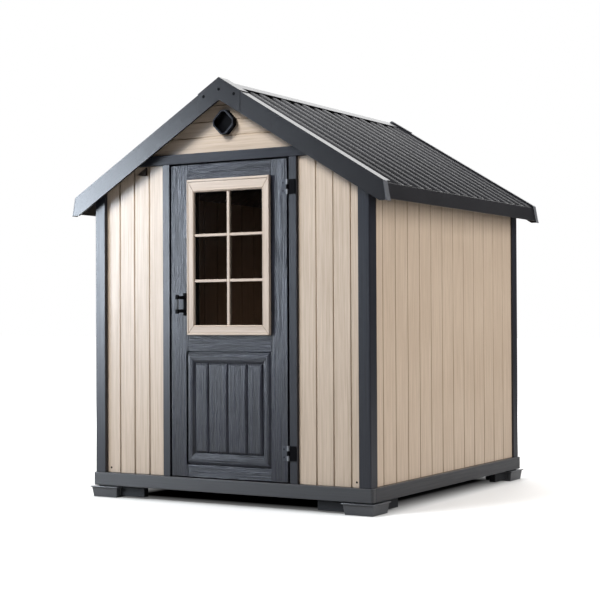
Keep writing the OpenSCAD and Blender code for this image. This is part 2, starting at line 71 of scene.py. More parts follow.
class Value:
    """A socket in an expression, where each operator adds its Math node."""

    def __init__(self, tree, socket):
        self.tree = tree
        self.socket = socket

    def __add__(self, other):
        return self.tree.maths("ADD", self, other)

    def __sub__(self, other):
        return self.tree.maths("SUBTRACT", self, other)

    def __rsub__(self, other):
        return self.tree.maths("SUBTRACT", other, self)

    def __mul__(self, other):
        return self.tree.maths("MULTIPLY", self, other)

    def __truediv__(self, other):
        return self.tree.maths("DIVIDE", self, other)

    def __gt__(self, other):
        return self.tree.maths("GREATER_THAN", self, other)

    def __lt__(self, other):
        return self.tree.maths("LESS_THAN", self, other)

    def __abs__(self):
        return self.tree.maths("ABSOLUTE", self)

    __radd__ = __add__
    __rmul__ = __mul__


class Tree:
    """A node tree that grows by one method."""

    def __init__(self, group):
        self.group = group

    def node(self, kind, settings=None, values=(), out=0):
        """Adds a node, sets it up, fills its sockets, and gives one output."""
        made = self.group.nodes.new(kind)
        for name, setting in (settings or {}).items():
            if name == "stops":
                ramp = made.color_ramp.elements
                for at in [s[0] for s in setting[2:]]:
                    ramp.new(at)
                for element, (at, colour) in zip(ramp, setting):
                    element.position = at
                    element.color = colour
            else:
                setattr(made, name, setting)
        pairs = values.items() if isinstance(values, dict) else enumerate(values)
        for key, value in pairs:
            socket = socket_of(made.inputs, key)
            if isinstance(value, Value):
                self.group.links.new(value.socket, socket)
            else:
                socket.default_value = value
        if made.outputs:
            return Value(self, socket_of(made.outputs, out))

    def maths(self, operation, *values):
        return self.node("ShaderNodeMath", {"operation": operation}, values)

    def vector(self, operation, *values):
        return self.node("ShaderNodeVectorMath", {"operation": operation}, values)

    def parts(self, vector):
        """The three numbers of a vector."""
        first = self.node("ShaderNodeSeparateXYZ", None, [vector])
        outputs = first.socket.node.outputs
        return [Value(self, outputs[i]) for i in range(3)]


class Finish(Tree):
    """A material's tree."""

    def __init__(self, name):
        self.material = bpy.data.materials.new(name)
        self.material.use_nodes = True
        super().__init__(self.material.node_tree)
        self.group.nodes.clear()
        self.point = self.node("ShaderNodeTexCoord", out="Object")

    def noise(self, scale, detail=2.0, roughness=0.5, point=None):
        """Noise from 0 to 1; scale holds the number of cells in a metre along each axis."""
        stretched = self.vector("MULTIPLY", point or self.point, scale)
        return self.node(
            "ShaderNodeTexNoise",
            None,
            {"Vector": stretched, "Scale": 1.0, "Detail": detail, "Roughness": roughness},
        )

    def spread(self, value, low, high):
        """The value moved so that low becomes 0 and high becomes 1, kept within them."""
        return self.node(
            "ShaderNodeMapRange",
            {"clamp": True},
            {"Value": value, "From Min": low, "From Max": high},
        )

    def mix(self, factor, first, second):
        return self.node(
            "ShaderNodeMix",
            {"data_type": "RGBA"},
            {"Factor_Float": factor, "A_Color": first, "B_Color": second},
            "Result_Color",
        )

    def bump(self, height, depth):
        return self.node(
            "ShaderNodeBump", None, {"Strength": 1.0, "Distance": depth, "Height": height}
        )

    def shade(self, values):
        """Ends the material in a Principled shader with those socket values."""
        surface = self.node("ShaderNodeBsdfPrincipled", None, values)
        self.node("ShaderNodeOutputMaterial", None, {"Surface": surface})
        return self.material


def tone(red, green, blue):
    """A colour of eight-bit numbers as the linear colour that shaders take."""
    linear = [
        c / 255 / 12.92 if c <= 10 else ((c / 255 + 0.055) / 1.055) ** 2.4
        for c in (red, green, blue)
    ]
    return (*linear, 1.0)


def along(axis, across, lengthwise):
    """Cells in a metre for a pattern that is drawn out along one axis."""
    return tuple(lengthwise if i == axis else across for i in range(3))


def grained(name, axis, dark, light, roughness, depth, level=0.5, contrast=0.14, pores=0.0):
    """Moulded plastic with pressed wood grain that runs along an axis, strays a little from it,
    and has dark pores."""
    stray = 0.008
    f = Finish(name)
    wander = f.vector("SUBTRACT", f.node("ShaderNodeTexNoise", None, {
        "Vector": f.point, "Scale": 3.5, "Detail": 1.0}, "Color"), (0.5, 0.5, 0.5))
    point = f.vector("ADD", f.point, f.vector("MULTIPLY", wander, along(axis, stray, 0.0)))
    streaks = f.noise(along(axis, 130.0, 2.2), 3.0, 0.6, point)
    fibres = f.noise(along(axis, 420.0, 9.0), 2.0, 0.6, point)
    cloud = f.noise((2.3, 2.3, 2.3), 2.0)
    height = f.spread(streaks, 0.3, 0.7) * 0.65 + f.spread(fibres, 0.3, 0.7) * 0.35
    shade = f.spread(streaks * 0.6 + fibres * 0.25 + cloud * 0.15, 0.5 - contrast, 0.5 + contrast)
    if pores:
        cracks = f.spread(f.noise(along(axis, 170.0, 4.0), 1.0, 0.5, point), 0.56, 0.68)
        shade = shade * (1.0 - pores * cracks)
        height = height - pores * 0.5 * cracks
    return f.shade({
        "Base Color": f.mix(shade, dark, light),
        "Roughness": roughness[1] - (roughness[1] - roughness[0]) * shade,
        "Specular IOR Level": level,
        "Normal": f.bump(height, depth),
    })


def moulded(name, dark, light, roughness, level=0.5):
    """Plain moulded plastic with a fine pebbled skin and faint clouds."""
    f = Finish(name)
    skin = f.noise((600.0, 600.0, 600.0), 2.0)
    cloud = f.noise((3.1, 3.1, 3.1), 3.0, 0.55)
    specks = f.noise((90.0, 90.0, 90.0), 2.0)
    shade = f.spread(cloud * 0.7 + specks * 0.3, 0.35, 0.65)
    return f.shade({
        "Base Color": f.mix(shade, dark, light),
        "Roughness": roughness[0] + (roughness[1] - roughness[0]) * cloud,
        "Specular IOR Level": level,
        "Normal": f.bump(skin, 0.0002),
    })


def ribbed_plastic(name, dark, light, roughness):
    """Dull roof plastic with a polish along the edges of the ribs' crests and the low edge."""
    none_at, full_at = 0.007, 0.004
    # Whole pitches keep the count of ribs above nought, and the half puts a rib in its middle.
    ahead = 20 + 0.5
    f = Finish(name)
    x, y, z = f.parts(f.point)
    down_slope = abs(x) * math.cos(PITCH) + (PEAK_Z - z) * math.sin(PITCH)
    polish = f.spread(down_slope, SHEET_END - 0.005, SHEET_END - 0.003)
    for first in (RIB_FIRST, RIB_FIRST - RIB_AHEAD):
        pitches = (y - first) / RIB_PITCH + ahead
        from_rib = abs(f.maths("FRACT", pitches) - 0.5) * RIB_PITCH
        edge = f.spread(abs(from_rib - RIB_CREST / 2), none_at, full_at)
        polish = f.maths("MAXIMUM", polish, edge)
    cloud = f.noise((3.1, 3.1, 3.1), 3.0, 0.55)
    skin = f.noise((400.0, 400.0, 400.0), 2.0)
    return f.shade({
        "Base Color": f.mix(f.spread(cloud, 0.35, 0.65), dark, light),
        "Roughness": roughness[0] + (roughness[1] - roughness[0]) * cloud,
        "Specular IOR Level": 0.1,
        "Coat Weight": 0.5 * polish,
        "Coat Roughness": 0.15,
        "Normal": f.bump(skin, 0.0001),
    })


def metal(name, colour, roughness):
    """Zinc-plated or steel parts with a faint cloudy tarnish."""
    f = Finish(name)
    cloud = f.noise((40.0, 40.0, 40.0), 3.0, 0.6)
    brushed = f.noise((900.0, 900.0, 60.0), 2.0)
    worn = tuple(c * 0.7 for c in colour[:3]) + (1.0,)
    return f.shade({
        "Base Color": f.mix(f.spread(cloud, 0.3, 0.7), worn, colour),
        "Roughness": roughness + 0.15 * cloud,
        "Metallic": 0.9,
        "Normal": f.bump(brushed, 0.00005),
    })


def clear_pane(name):
    """A smoked see-through sheet with a faint haze of dust."""
    f = Finish(name)
    dust = f.spread(f.noise((9.0, 9.0, 9.0), 4.0, 0.6), 0.35, 0.8)
    return f.shade({
        "Base Color": f.mix(dust, tone(12, 8, 6), tone(24, 17, 12)),
        "Roughness": 0.06 + 0.1 * dust,
        "Alpha": 0.22 + 0.06 * dust,
        "Specular IOR Level": 0.15,
    })


# Finishes -----------------------------------------------------------------

CREAM_DARK, CREAM_LIGHT = tone(175, 156, 137), tone(201, 183, 165)
TRIM_DARK, TRIM_LIGHT = tone(177, 160, 145), tone(198, 182, 168)
DOOR_DARK, DOOR_LIGHT = tone(11, 12, 18), tone(46, 48, 59)
SLATE_DARK, SLATE_LIGHT = tone(31, 32, 38), tone(42, 44, 51)
BASE_DARK, BASE_LIGHT = tone(46, 47, 50), tone(57, 58, 62)
ROOF_DARK, ROOF_LIGHT = tone(29, 29, 32), tone(36, 36, 39)

cream_upright = grained("cream_board_upright", Z, CREAM_DARK, CREAM_LIGHT, (0.34, 0.46), 0.0003,
                        0.58, pores=0.25)
cream_level = grained("cream_board_level", X, CREAM_DARK, CREAM_LIGHT, (0.42, 0.55), 0.0003,
                      0.33, pores=0.25)
trim_upright = grained("cream_trim_upright", Z, TRIM_DARK, TRIM_LIGHT, (0.4, 0.55), 0.0004)
trim_level = grained("cream_trim_level", X, TRIM_DARK, TRIM_LIGHT, (0.4, 0.55), 0.0004)
# Darker cream for the joints' sloping faces: painted shade in the board joints.
cream_joint = moulded("cream_joint", tone(158, 140, 120), tone(176, 158, 138), (0.6, 0.7), 0.2)
door_upright = grained("door_grain_upright", Z, DOOR_DARK, DOOR_LIGHT, (0.2, 0.42), 0.0018,
                       0.5, 0.1, 0.8)
door_level = grained("door_grain_level", X, DOOR_DARK, DOOR_LIGHT, (0.2, 0.42), 0.0018,
                     0.48, 0.1, 0.6)
frame_upright = grained("slate_frame_upright", Z, SLATE_DARK, SLATE_LIGHT, (0.28, 0.38), 0.0003)
frame_level = grained("slate_frame_level", X, SLATE_DARK, SLATE_LIGHT, (0.4, 0.55), 0.0005, 0.25)
base_level = grained("slate_base_across", X, BASE_DARK, BASE_LIGHT, (0.3, 0.4), 0.0003, 0.8)
base_deep = grained("slate_base_along", Y, BASE_DARK, BASE_LIGHT, (0.3, 0.4), 0.0003, 0.6)
# Darker slate for the feet's arms: painted shade under the skirt.
arm_painted_shade = moulded("slate_foot_arm", tone(30, 31, 34), tone(38, 39, 42), (0.5, 0.6), 0.2)
foot_plastic = moulded("slate_foot", tone(60, 62, 66), tone(74, 76, 81), (0.25, 0.35), 1.0)
rake_plastic = moulded("roof_trim", ROOF_DARK, ROOF_LIGHT, (0.26, 0.34))
# Lighter grey for the eaves' end corners: a painted highlight where they turn.
corner_painted_highlight = moulded("roof_corner", tone(80, 82, 87), tone(92, 94, 99), (0.3, 0.4))
sheet_plastic = ribbed_plastic("roof_ribbed", tone(31, 31, 33), tone(36, 36, 39), (0.55, 0.65))
beam_steel = metal("beam_steel", tone(150, 152, 155), 0.4)
screw_black = moulded("screw_black", tone(10, 10, 12), tone(18, 18, 20), (0.5, 0.6), 0.03)
hinge_slate = moulded("hinge_slate", tone(38, 41, 49), tone(50, 53, 62), (0.35, 0.45))
knuckle_grey = moulded("knuckle_grey", tone(120, 124, 130), tone(140, 144, 150), (0.3, 0.4))
# Dark plastic tinted brown: a painted reflection of the cream wall on the bracket.
bracket_plastic = moulded("bracket_plastic", tone(40, 33, 29), tone(56, 47, 41), (0.5, 0.6), 0.1)
black_plastic = moulded("black_fitting", tone(9, 9, 11), tone(16, 16, 19), (0.5, 0.6), 0.03)
grip_plastic = moulded("grip_grey", tone(48, 50, 53), tone(64, 66, 70), (0.35, 0.5), 0.3)
pane_plastic = clear_pane("smoked_pane")


# Meshes -------------------------------------------------------------------

# Points nearer to each other than this are one point.
MERGE = 0.00001


def copy_of(node):
    """A CAD node's mesh, merged and with its flat faces whole."""
    bm = bmesh.new()
    bm.from_mesh(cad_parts[node].data)
    bmesh.ops.remove_doubles(bm, verts=bm.verts, dist=MERGE)
    bmesh.ops.dissolve_limit(bm, angle_limit=math.radians(0.5), verts=bm.verts, edges=bm.edges)
    return bm


def boxes(*pairs):
    """Boxes, each between a low and a high corner."""
    bm = bmesh.new()
    for pair in pairs:
        low, high = Vector(pair[0]), Vector(pair[1])
        size = Matrix.Diagonal((*(high - low), 1))
        bmesh.ops.create_cube(bm, size=1, matrix=Matrix.Translation((low + high) / 2) @ size)
    return bm


def add_prism(bm, near, far):
    """A solid between two outlines of as many points, each a ring that goes the same way round."""
    a = [bm.verts.new(p) for p in near]
    b = [bm.verts.new(p) for p in far]
    bm.faces.new(a)
    bm.faces.new(b[::-1])
    for i in range(len(a)):
        j = (i + 1) % len(a)
        bm.faces.new((a[i], b[i], b[j], a[j]))


def settle(piece):
    """Turns a piece's modifiers into its mesh."""
    depsgraph = bpy.context.evaluated_depsgraph_get()
    mesh = bpy.data.meshes.new_from_object(
        piece.evaluated_get(depsgraph), preserve_all_data_layers=True, depsgraph=depsgraph
    )
    piece.modifiers.clear()
    piece.data = mesh


def turn_over(piece):
    """Moves a piece's mesh to the other side of the ridge, as seen in a mirror."""
    for vert in piece.data.vertices:
        vert.co.x *= -1
    piece.data.flip_normals()


def raw_piece(name, bm):
    """A new object of that mesh, with its faces turned outwards."""
    bmesh.ops.recalc_face_normals(bm, faces=bm.faces)
    mesh = bpy.data.meshes.new(name)
    bm.to_mesh(mesh)
    bm.free()
    piece = bpy.data.objects.new(name, mesh)
    bpy.context.scene.collection.objects.link(piece)
    return piece


def rounded(piece, width, segments=2, angle=25, all_smooth=False):
    """Rounds the piece's edges, and shades only the narrow new faces smooth, or all of them."""
    mesh = piece.data
    mesh.materials.append(mesh.materials[0])
    bevel = piece.modifiers.new("Edges", "BEVEL")
    bevel.width = width
    bevel.segments = segments
    bevel.limit_method = "ANGLE"
    bevel.angle_limit = math.radians(angle)
    bevel.use_clamp_overlap = True
    bevel.miter_outer = "MITER_ARC"
    bevel.material = 1
    settle(piece)
    mesh = piece.data
    for face in mesh.polygons:
        face.use_smooth = all_smooth or face.material_index == 1
        face.material_index = 0
    mesh.materials.pop(index=1)


def paint(piece, finish, test):
    """Gives a second finish to the faces whose middles pass the test."""
    piece.data.materials.append(finish)
    for face in piece.data.polygons:
        if test(face.center):
            face.material_index = 1


def belong(piece, body, slot, *nodes):
    """The piece moves with a body and hides the CAD nodes that it stands for. The slot is not
    used.
    """
    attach(piece, body)
    if nodes:
        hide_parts(*nodes)
    return piece


def dress(name, bm, finish, body, slot, nodes=(), edge=0.002, segments=2):
    """A finished piece with rounded edges."""
    piece = raw_piece(name, bm)
    piece.data.materials.append(finish)
    rounded(piece, edge, segments)
    return belong(piece, body, slot, *nodes)


def shaped(name, node, finish, slot, edge=0.002, segments=2):
    """A fixed node's own shape, with rounded edges and a finish."""
    return dress(name, copy_of(node), finish, "shed", slot, [node], edge, segments)


# Geometry trees -----------------------------------------------------------

SOCKETS = {
    "number": "NodeSocketFloat",
    "count": "NodeSocketInt",
    "vector": "NodeSocketVector",
    "shape": "NodeSocketGeometry",
    "finish": "NodeSocketMaterial",
}


class Pattern(Tree):
    """A geometry tree with named inputs."""

    def __init__(self, name, inputs):
        group = bpy.data.node_groups.new(name, "GeometryNodeTree")
        super().__init__(group)
        group.interface.new_socket("Shape", in_out="INPUT", socket_type=SOCKETS["shape"])
        self.keys = {}
        for label, kind in {**inputs, "Finish": "finish"}.items():
            made = group.interface.new_socket(label, in_out="INPUT", socket_type=SOCKETS[kind])
            self.keys[label] = made.identifier
        group.interface.new_socket("Shape", in_out="OUTPUT", socket_type=SOCKETS["shape"])
        entry = group.nodes.new("NodeGroupInput")
        self.given = {s.name: Value(self, s) for s in entry.outputs if s.name}

    def close(self, shape):
        """Ends the tree in plain geometry with the finish on it."""
        plain = self.node("GeometryNodeRealizeInstances", None, {"Geometry": shape})
        done = self.node(
            "GeometryNodeSetMaterial", None, {"Geometry": plain, "Material": self.given["Finish"]}
        )
        self.node("NodeGroupOutput", None, [done])

    def on(self, piece, finish, **values):
        """Puts the tree on a piece as a modifier, with its inputs set."""
        modifier = piece.modifiers.new(self.group.name, "NODES")
        modifier.node_group = self.group
        modifier[self.keys["Finish"]] = finish
        for label, value in values.items():
            modifier[self.keys[label]] = value


def joints_pattern():
    """V-shaped joints between boards, cut into a panel at an even pitch."""
    p = Pattern("Board joints", {
        "First": "vector", "Step": "vector", "Count": "count",
        "Width": "number", "Depth": "number", "Length": "number", "Turn": "vector",
    })
    g = p.given
    line = p.node("GeometryNodeMeshLine", {"mode": "OFFSET"}, {
        "Count": g["Count"], "Start Location": g["First"], "Offset": g["Step"]})
    knife = p.node("GeometryNodeMeshCylinder", None, {
        "Vertices": 4, "Radius": g["Width"] * 0.5, "Depth": g["Length"]})
    squeeze = p.node("ShaderNodeCombineXYZ", None, [1.0, g["Depth"] / (g["Width"] * 0.5), 1.0])
    knife = p.node("GeometryNodeTransform", None, {"Geometry": knife, "Scale": squeeze})
    knife = p.node("GeometryNodeTransform", None, {"Geometry": knife, "Rotation": g["Turn"]})
    knives = p.node("GeometryNodeInstanceOnPoints", None, {"Points": line, "Instance": knife})
    knives = p.node("GeometryNodeRealizeInstances", None, {"Geometry": knives})
    cut = p.node("GeometryNodeMeshBoolean", {"operation": "DIFFERENCE", "solver": "EXACT"}, {
        "Mesh 1": g["Shape"], "Mesh 2": knives})
    p.close(cut)
    return p


def screws_pattern():
    """Round screw heads with a crossed recess, one at each point, facing one way."""
    crown, slot_length, slot_width = 0.72, 1.1, 0.24
    p = Pattern("Screw heads", {"Radius": "number", "Height": "number", "Turn": "vector"})
    g = p.given
    head = p.node("GeometryNodeMeshCone", None, {
        "Vertices": 16, "Radius Top": g["Radius"] * crown,
        "Radius Bottom": g["Radius"], "Depth": g["Height"]})
    slots = []
    for turn in (0.0, math.pi / 2):
        size = p.node("ShaderNodeCombineXYZ", None, [
            g["Radius"] * slot_length, g["Radius"] * slot_width, g["Height"]])
        bar = p.node("GeometryNodeMeshCube", None, {"Size": size})
        lift = p.node("ShaderNodeCombineXYZ", None, [0.0, 0.0, g["Height"]])
        slots.append(p.node("GeometryNodeTransform", None, {
            "Geometry": bar, "Translation": lift, "Rotation": (0.0, 0.0, turn)}))
    for bar in slots:
        head = p.node("GeometryNodeMeshBoolean", {"operation": "DIFFERENCE", "solver": "EXACT"}, {
            "Mesh 1": head, "Mesh 2": bar})
    heads = p.node("GeometryNodeInstanceOnPoints", None, {
        "Points": g["Shape"], "Instance": head, "Rotation": g["Turn"]})
    p.close(heads)
    return p


def ribs_pattern():
    """A ribbed sheet: pairs of a minor and a main rib, then a raised land along the back edge,
    as one folded line with its folds eased, drawn out down the slope. A rib has four corners:
    foot, crest, crest, foot. The line starts at the front edge, and past the pairs come one more
    minor rib, the land's two corners and the back edge."""
    p = Pattern("Ribbed sheet", {
        "Pairs": "count", "Pitch": "number", "Ahead": "number", "First": "number",
        "Crest": "number", "Foot": "number", "Rise": "number", "Lower": "number",
        "Reach": "number", "Run": "number", "Ease": "number", "Origin": "vector", "Turn": "vector",
    })
    g = p.given
    last = g["Pairs"] * 8.0 + 7.0
    points = p.node("GeometryNodeMeshLine", {"mode": "OFFSET"}, {
        "Count": last + 1.0, "Offset": (0.0, 0.0, 0.0)})
    index = p.node("GeometryNodeInputIndex")
    rib = p.maths("FLOOR", (index - 1.0) / 4.0)
    corner = (index - 1.0) - rib * 4.0
    pair = p.maths("FLOOR", rib / 2.0)
    minor = 1.0 - (rib - pair * 2.0)
    is_crest = p.maths("COMPARE", corner, 1.5, 1.0)
    half = g["Foot"] * 0.5 - is_crest * (g["Foot"] - g["Crest"]) * 0.5
    middle = g["First"] + pair * g["Pitch"] - minor * g["Ahead"]
    across = middle + ((corner > 1.5) * 2.0 - 1.0) * half
    is_first = index < 0.5
    is_last = index > (last - 0.5)
    y = across * (1.0 - is_first - is_last) + g["Reach"] * (is_last - is_first)
    z = is_crest * (1.0 - is_first) * (g["Rise"] - minor * g["Lower"])
    section = p.node("GeometryNodeSetPosition", None, {
        "Geometry": points, "Position": p.node("ShaderNodeCombineXYZ", None, [0.0, y, z])})
    curve = p.node("GeometryNodeMeshToCurve", None, {"Mesh": section})
    curve = p.node("GeometryNodeFilletCurve", {"mode": "POLY"}, {
        "Curve": curve, "Count": 3, "Radius": g["Ease"]})
    wire = p.node("GeometryNodeCurveToMesh", None, {"Curve": curve})
    down = p.node("ShaderNodeCombineXYZ", None, [g["Run"], 0.0, 0.0])
    sheet = p.node("GeometryNodeExtrudeMesh", {"mode": "EDGES"}, {
        "Mesh": wire, "Offset": down, "Offset Scale": 1.0})
    sheet = p.node("GeometryNodeTransform", None, {
        "Geometry": sheet, "Translation": g["Origin"], "Rotation": g["Turn"]})
    p.close(sheet)
    return p


joints = joints_pattern()
screws = screws_pattern()
ribs = ribs_pattern()


def screw_set(name, points, sign, radius, height, body="shed", slot="black_fitting"):
    """Screw heads at points; a sign of -1 faces them to the front, and 1 to the back."""
    bm = bmesh.new()
    for point in points:
        bm.verts.new(point)
    piece = raw_piece(name, bm)
    screws.on(piece, screw_black, Radius=radius, Height=height,
              Turn=(-sign * math.pi / 2, 0.0, 0.0))
    settle(piece)
    belong(piece, body, slot)


# Walls --------------------------------------------------------------------

SIDES = (("left", -1), ("right", 1))
ENDS = (("front", -1), ("back", 1))
FACING_Y = (0.0, 0.0, 0.0)
FACING_X = (0.0, 0.0, math.pi / 2)
LEVEL = (0.0, math.pi / 2, 0.0)
ALONG_Y = (math.pi / 2, 0.0, 0.0)

# The joints' width, depth and reach, and the rounding of their edges; then where the first joint
# of each wall is, how far apart they are, and how many.
JOINT_W, JOINT_D, JOINT_LENGTH, JOINT_EDGE = 0.009, 0.0062, 4.0, 0.0022
FRONT_FIRSTS, FRONT_STEP, FRONT_COUNT = {"left": -0.747, "right": 0.573}, 0.106, 3
SIDE_FIRST, SIDE_STEP, SIDE_COUNT = -0.841, 0.1494, 12
GABLE_FIRST, GABLE_STEP, GABLE_COUNT = 2.061, 0.087, 4
MIDDLE_Z = 1.0


def board_wall(name, node, finish, rows, turn):
    """A wall panel with rows of board joints: each row is its first point, step and count. The
    joints' sloping faces get a darker finish, painted shade in the joints."""
    piece = raw_piece(name, copy_of(node))
    piece.data.materials.append(finish)
    for first, step, count in rows:
        joints.on(piece, finish, First=first, Step=step, Count=count, Width=JOINT_W,
                  Depth=JOINT_D, Length=JOINT_LENGTH, Turn=turn)
    settle(piece)
    rounded(piece, JOINT_EDGE, 1, 30)
    # The joints' sloping faces take the darker cream as painted shade.
    sloping = 0.86
    piece.data.materials.append(cream_joint)
    for face in piece.data.polygons:
        if max(abs(share) for share in face.normal) < sloping:
            face.material_index = 1
    belong(piece, "shed", "cream_board", node)


def build_walls():
    """Boards with joints on the outer and inner face of each wall and gable."""
    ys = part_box("back_wall")[1].y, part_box("back_wall")[0].y
    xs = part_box("side_wall_right")[1].x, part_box("side_wall_right")[0].x
    for side, first in FRONT_FIRSTS.items():
        rows = [((first, -y, MIDDLE_Z), (FRONT_STEP, 0.0, 0.0), FRONT_COUNT) for y in ys]
        board_wall(f"front_boards_{side}", f"front_wall_{side}", cream_upright, rows, FACING_Y)
    count = 2 * int(xs[0] / FRONT_STEP) - 1
    first = -(count - 1) / 2 * FRONT_STEP
    rows = [((first, y, MIDDLE_Z), (FRONT_STEP, 0.0, 0.0), count) for y in ys]
    board_wall("back_boards", "back_wall", cream_upright, rows, FACING_Y)
    for side, sign in SIDES:
        rows = [((sign * x, SIDE_FIRST, MIDDLE_Z), (0.0, SIDE_STEP, 0.0), SIDE_COUNT) for x in xs]
        board_wall(f"side_boards_{side}", f"side_wall_{side}", cream_upright, rows, FACING_X)
    for end, sign in ENDS:
        rows = [((0.0, sign * y, GABLE_FIRST), (0.0, 0.0, GABLE_STEP), GABLE_COUNT) for y in ys]
        board_wall(f"gable_boards_{end}", f"{end}_gable", cream_level, rows, LEVEL)


# Frame --------------------------------------------------------------------

# The feet's square pads, whose arms run on under the skirt, and the floor's planks.
PAD_W = 0.198
PLANK_FIRST, PLANK_W, PLANK_COUNT = -0.8, 0.1, 17
GROOVE_W, GROOVE_D = 0.006, 0.003


def build_frame():
    """Feet, skirt, floor, posts, headers and jambs."""
    for end, _ in ENDS:
        for side, _ in SIDES:
            node = f"foot_{end}_{side}"
            foot = shaped(f"{node}_pad", node, foot_plastic, "slate_base", 0.004, 3)
            low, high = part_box(node)
            arm_x = max(-low.x, high.x) - PAD_W - 0.001
            arm_y = max(-low.y, high.y) - PAD_W - 0.001
            # The arms under the skirt take the darker slate as painted shade.
            paint(foot, arm_painted_shade, lambda c: abs(c.x) < arm_x or abs(c.y) < arm_y)
            node = f"corner_post_{end}_{side}"
            shaped(f"{node}_trim", node, frame_upright, "slate_frame")
        node = f"base_skirt_{end}"
        shaped(f"{node}_board", node, base_level, "slate_base", 0.003)
        node = f"{end}_header"
        shaped(f"{node}_beam", node, frame_level, "slate_frame")
    for side, _ in SIDES:
        node = f"base_skirt_{side}"
        shaped(f"{node}_board", node, base_deep, "slate_base", 0.003)
        node = f"door_jamb_{side}"
        shaped(f"{node}_post", node, frame_upright, "slate_frame")
    floor = raw_piece("floor_planks", copy_of("floor_panel"))
    floor.data.materials.append(base_deep)
    joints.on(floor, base_deep, First=(PLANK_FIRST, 0.0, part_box("floor_panel")[1].z),
              Step=(PLANK_W, 0.0, 0.0), Count=PLANK_COUNT, Width=GROOVE_W, Depth=GROOVE_D,
              Length=JOINT_LENGTH, Turn=ALONG_Y)
    settle(floor)
    belong(floor, "shed", "slate_base", "floor_panel")


# Roof ---------------------------------------------------------------------

# The slope's own directions, a point on the pans' plane under the ridge, and a depth that clears
# the sheets' undersides, measured from the rakes' top plane.
SLOPE = Matrix.Rotation(PITCH, 4, "Y")
DOWN, UP = SLOPE @ Vector((1, 0, 0)), SLOPE @ Vector((0, 0, 1))
PANS = Vector((0, 0, PEAK_Z)) - UP * (CREST_DROP + RIB_RISE)
SHEET_DEPTH = 0.033


def ribbed_sheet(side, sign):
    """One side's sheet, which starts just past the place where it would meet the other."""
    start = SHEET_DEPTH * math.tan(PITCH) + 0.001
    piece = raw_piece(f"ribbed_sheet_{side}", bmesh.new())
    ribs.on(piece, sheet_plastic, Pairs=RIB_PAIRS, Pitch=RIB_PITCH, Ahead=RIB_AHEAD,
            First=RIB_FIRST, Crest=RIB_CREST, Foot=RIB_FOOT, Rise=RIB_RISE, Lower=MINOR_LOWER,
            Reach=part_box("roof_sheet_right")[1].y, Run=SHEET_END - start, Ease=RIB_EASE,
            Origin=tuple(PANS + DOWN * start), Turn=tuple(SLOPE.to_euler()))
    settle(piece)
    if sign < 0:
        turn_over(piece)
    solid = piece.modifiers.new("Thickness", "SOLIDIFY")
    solid.thickness = SHEET_THICKNESS
    solid.offset = -1.0
    settle(piece)
    rounded(piece, 0.0015, 2, 60, True)
    belong(piece, "shed", "roof_ribbed", f"roof_sheet_{side}")


def rib_plugs(side, sign):
    """Steel plugs in the ribs' low ends, and a deeper one in the land's, out to the rake."""
    foot, crest, sink, skirt, clear = 0.029, 0.017, 0.002, 0.045, 0.003
    deep, shallow = 0.014, 0.004
    land_end = -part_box("roof_sheet_right")[0].y + 0.0025
    bm = bmesh.new()
    for k in range(RIB_PAIRS + 1):
        main = RIB_FIRST + k * RIB_PITCH
        for y, top, is_land in ((main - RIB_AHEAD, RIB_RISE - MINOR_LOWER - clear, False),
                                (main, RIB_RISE - clear, k == RIB_PAIRS)):
            section = [(y - foot, -sink), (y + foot, -sink), (y + crest, top), (y - crest, top)]
            if is_land:
                section = [(y - foot, -skirt), (land_end, -skirt), (land_end, top),
                           (y - crest, top)]
            add_prism(bm, *[
                [PANS + DOWN * (SHEET_END - back) + UP * z + Vector((0, across, 0))
                 for across, z in section]
                for back in (deep, shallow)])
    plugs = raw_piece(f"rib_plugs_{side}", bm)
    if sign < 0:
        turn_over(plugs)
    plugs.data.materials.append(beam_steel)
    rounded(plugs, 0.0008, 1)
    belong(plugs, "shed", "roof_trim")


def gable_fittings(end, sign):
    """The apex plate, set back a little from its node's face, its screws, and the vent, whose
    mouth is painted black as shade inside it.
    """
    set_back = 0.003
    node = f"apex_cap_{end}"
    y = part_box(node)[0 if sign < 0 else 1].y
    plate = copy_of(node)
    for vert in plate.verts:
        if abs(vert.co.y - y) < 0.0005:
            vert.co.y -= sign * set_back
    y -= sign * set_back
    dress(f"{node}_plate", plate, rake_plastic, "shed", "roof_trim", [node], 0.0012)
    node = f"{end}_vent"
    hood = shaped(f"{node}_hood", node, frame_level, "slate_frame", 0.003)
    low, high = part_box(node)
    middle = (low + high) / 2
    mouth_y = high.y if sign > 0 else low.y
    # How far the painted shade reaches: the faces inside the vent's mouth are painted black as
    # shade in the opening.
    painted_shade_reach = 0.112
    paint(hood, black_plastic, lambda c: (
        abs(c.x - middle.x) + abs(c.z - middle.z) < painted_shade_reach and abs(c.y - mouth_y) > 0.004))
    screw_set(f"apex_screws_{end}", [(0, y, 2.309), (-0.1, y, 2.275), (0.1, y, 2.275)], sign,
              0.009, 0.0015)


def build_roof():
    """Sheets, plugs, eaves and rakes, then the ridge, then the fittings on both gables."""
    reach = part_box("roof_sheet_right")[1].y
    for side, sign in SIDES:
        ribbed_sheet(side, sign)
        rib_plugs(side, sign)
        node = f"eave_{side}"
        fascia = shaped(f"{node}_fascia", node, rake_plastic, "roof_trim")
        # The fascia's ends take the lighter grey as a painted highlight on the corners.
        paint(fascia, corner_painted_highlight, lambda c: abs(c.y) > reach - 0.02)
        for end, _ in ENDS:
            node = f"rake_{end}_{side}"
            shaped(f"{node}_board", node, rake_plastic, "roof_trim")
    shaped("ridge_capping", "ridge_cap", rake_plastic, "roof_trim", 0.0015)
    shaped("ridge_rail", "ridge_beam", beam_steel, "beam_metal")
    for end, sign in ENDS:
        gable_fittings(end, sign)


# Door ---------------------------------------------------------------------

